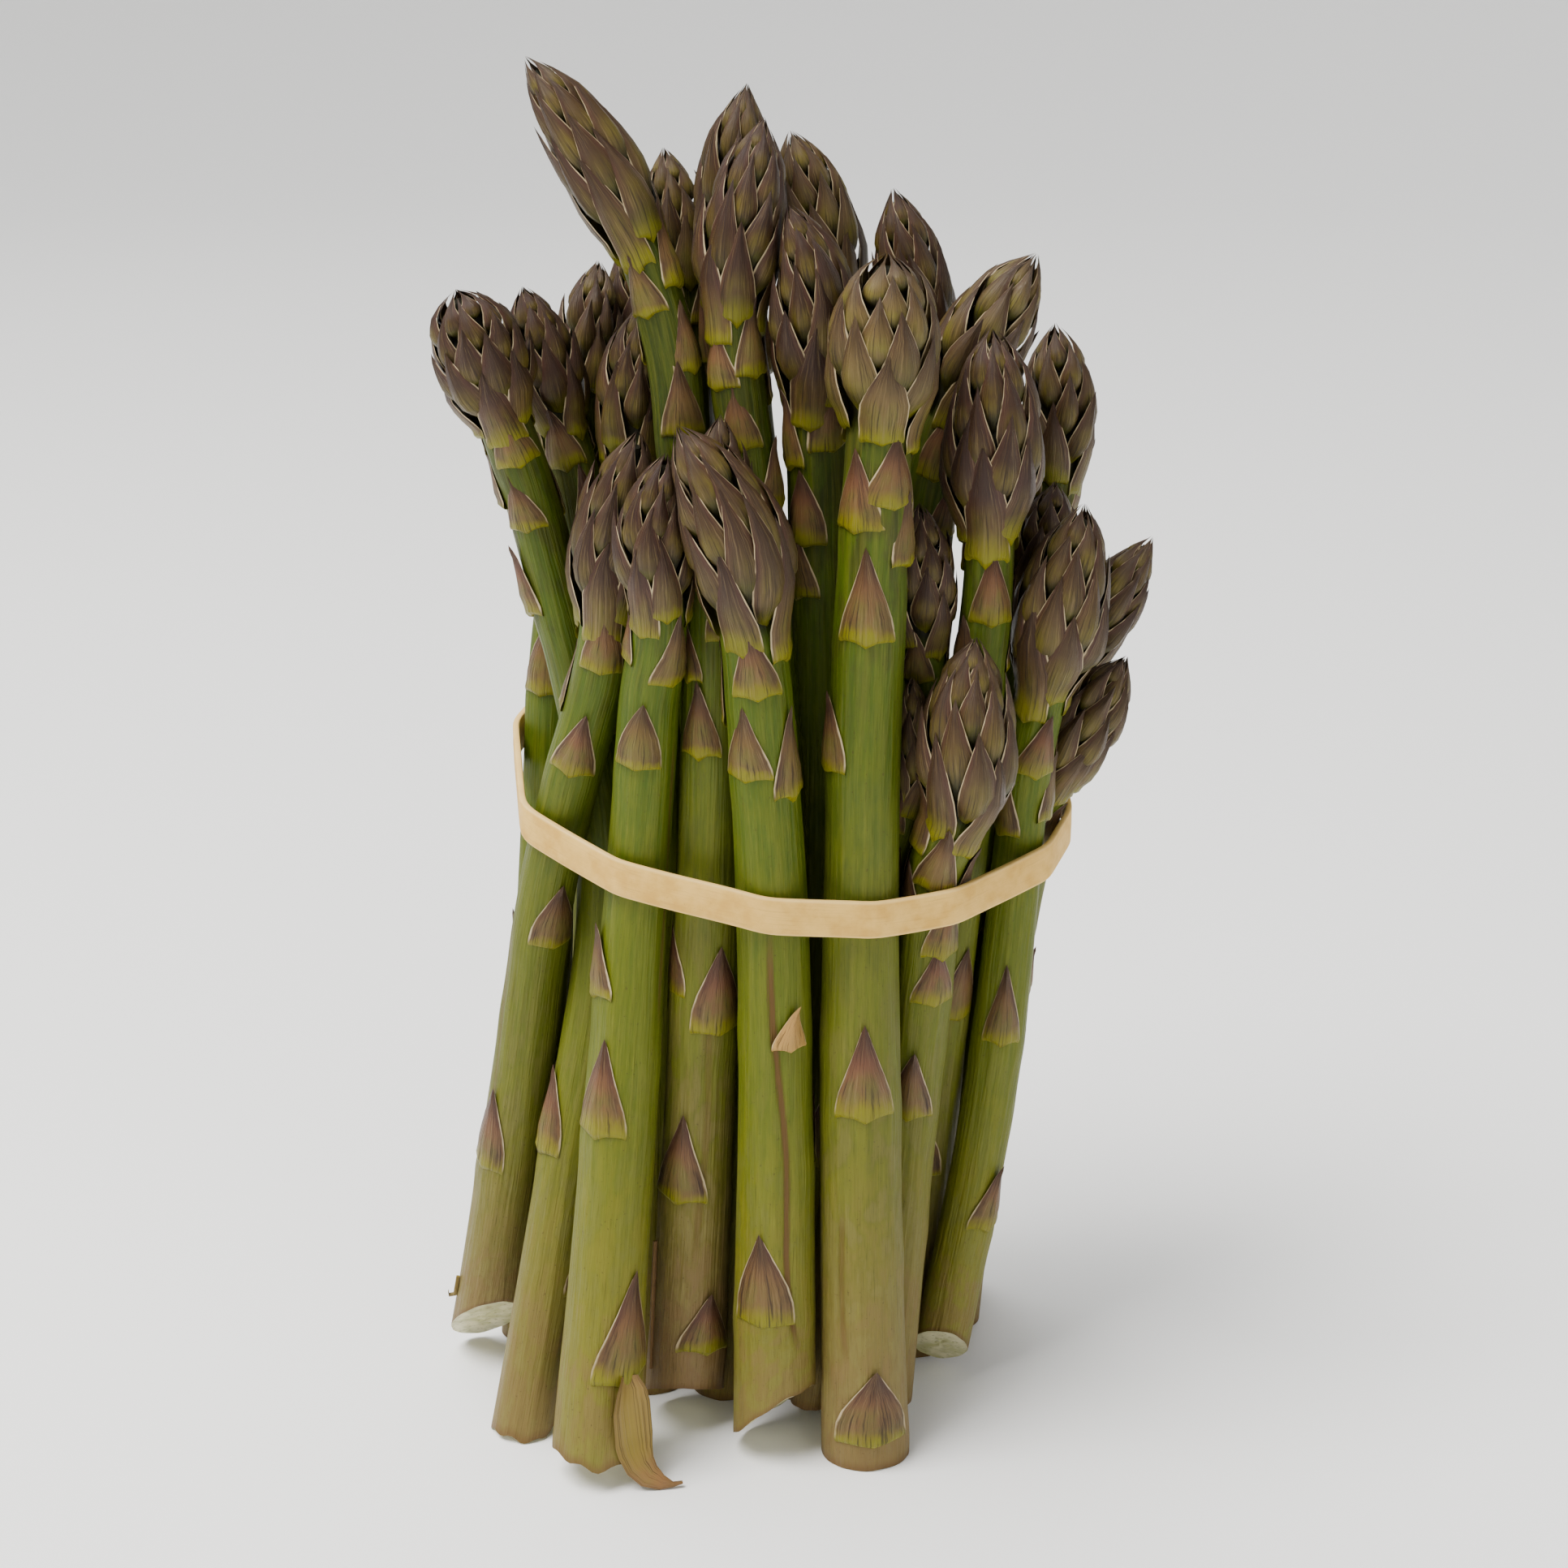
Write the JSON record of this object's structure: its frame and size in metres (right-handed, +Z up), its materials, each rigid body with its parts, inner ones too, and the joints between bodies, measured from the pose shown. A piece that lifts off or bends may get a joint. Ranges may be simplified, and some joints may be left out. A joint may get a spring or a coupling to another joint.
{
  "type": "bundle of asparagus",
  "caption": "Fresh green asparagus spears of several lengths with scaly pointed tips, held at the waist by a flat rubber band and standing on their cut ends",
  "frame": {"origin": "on the table, under the middle of the bundle's outline box", "axes": "+Z up along the bundle, +X to the right seen from the front, -Y towards the viewer of the bundle's front"},
  "size_m": [0.1256, 0.0856, 0.238],
  "materials": {
    "asparagus": "satin plant skin, green, turning purple-brown on the scales",
    "rubber_band": "matt tan"
  },
  "bodies": {
    "root": {"spear_01": "asparagus", "spear_02": "asparagus", "spear_03": "asparagus", "spear_04": "asparagus", "spear_05": "asparagus", "spear_06": "asparagus", "spear_07": "asparagus", "spear_08": "asparagus", "spear_09": "asparagus", "spear_10": "asparagus", "spear_11": "asparagus", "spear_12": "asparagus", "spear_13": "asparagus", "spear_14": "asparagus", "spear_15": "asparagus", "spear_16": "asparagus", "spear_17": "asparagus", "spear_18": "asparagus", "spear_19": "asparagus", "spear_20": "asparagus", "spear_21": "asparagus", "spear_22": "asparagus", "spear_23": "asparagus", "spear_24": "asparagus", "spear_25": "asparagus", "spear_26": "asparagus", "spear_27": "asparagus", "spear_28": "asparagus", "spear_29": "asparagus", "spear_30": "asparagus", "rubber_band": "rubber_band"}
  },
  "joints": []
}
